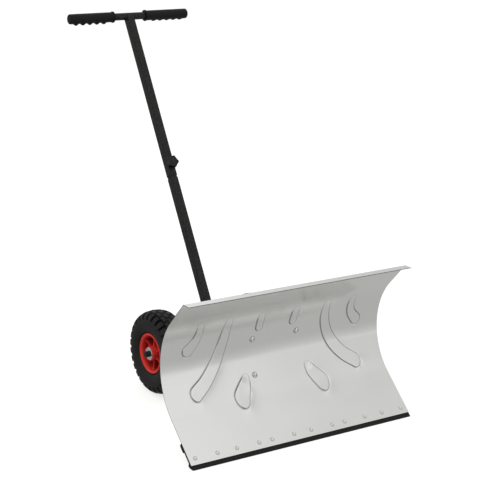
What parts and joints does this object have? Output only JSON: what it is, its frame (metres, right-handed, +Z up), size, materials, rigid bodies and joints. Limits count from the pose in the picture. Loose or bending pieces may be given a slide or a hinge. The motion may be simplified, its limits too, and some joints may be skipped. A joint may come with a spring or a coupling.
{
  "type": "wheeled snow shovel",
  "caption": "Push snow shovel: wide curled blade with rubber scraper edge on a two-wheel chassis, raked square handle with T-bar and grips, swinging blade and draw-out handle.",
  "frame": {"origin": "centre of the footprint at ground level, close under the axle", "axes": "+Z up, blade faces -Y and the handle rakes back to +Y, +X to the right when looking at the blade from in front along +Y"},
  "size_m": [0.74, 1.0376, 1.0535],
  "materials": {
    "blade_metal": "satin",
    "black_steel": "satin powder coat",
    "zinc_steel": "zinc plated",
    "bright_bolt": "bright",
    "rivet_metal": "bright",
    "black_rubber": "matte",
    "grip_rubber": "satin",
    "tyre_rubber": "matte",
    "red_plastic": "semi-gloss",
    "black_plastic": "satin"
  },
  "bodies": {
    "chassis": {"chassis_beam": "black_steel", "beam_plugs": "black_plastic", "axle_tube": "black_steel", "axle_rod": "zinc_steel", "axle_washers": "zinc_steel", "axle_caps": "black_plastic", "handle_lower_tube": "black_steel", "handle_inner_tube": "black_steel", "pivot_bolt": "zinc_steel", "pivot_washer": "zinc_steel", "pivot_nut": "zinc_steel", "clamp_bolt": "zinc_steel", "clamp_washer": "zinc_steel"},
    "blade": {"blade_sheet": "blade_metal", "scraper_strip": "black_rubber", "scraper_rivets": "rivet_metal", "blade_bolts": "bright_bolt", "blade_washers": "zinc_steel", "blade_nuts": "zinc_steel", "bracket_plate": "black_steel", "bracket_ribs": "black_steel", "swivel_plate": "black_steel"},
    "upper_handle": {"handle_upper_tube": "black_steel", "handle_weld_nut": "black_steel", "handlebar": "black_steel", "left_grip": "grip_rubber", "right_grip": "grip_rubber"},
    "height_knob": {"height_knob": "black_plastic", "height_knob_stud": "zinc_steel"},
    "angle_knob": {"angle_knob": "black_plastic"},
    "right_wheel": {"right_tyre": "tyre_rubber", "right_rim": "red_plastic", "right_bush": "bright_bolt"},
    "left_wheel": {"left_tyre": "tyre_rubber", "left_rim": "red_plastic", "left_bush": "bright_bolt"}
  },
  "joints": [
    {"name": "right_wheel_spin", "type": "hinge", "parent": "chassis", "child": "right_wheel", "pos_m": [0.1668, -0.00422, 0.125], "axis": [1, 0, 0], "continuous": true},
    {"name": "left_wheel_spin", "type": "hinge", "parent": "chassis", "child": "left_wheel", "pos_m": [-0.1668, -0.00422, 0.125], "axis": [1, 0, 0], "continuous": true},
    {"name": "blade_swing", "type": "hinge", "parent": "chassis", "child": "blade", "pos_m": [0, -0.25422, 0.14], "axis": [0, 0, 1], "range_deg": [-30, 30]},
    {"name": "handle_draw", "type": "slide", "parent": "chassis", "child": "upper_handle", "axis": [0, 0.5277, 0.8494], "range_m": [0, 0.15]},
    {"name": "height_knob_turn", "type": "hinge", "parent": "upper_handle", "child": "height_knob", "pos_m": [0, 0.24295, 0.62021], "axis": [0, -0.8494, 0.5277], "range_deg": [0, 720]},
    {"name": "angle_knob_turn", "type": "hinge", "parent": "chassis", "child": "angle_knob", "pos_m": [0, -0.18422, 0.147], "axis": [0, 0, 1], "range_deg": [0, 720]}
  ]
}
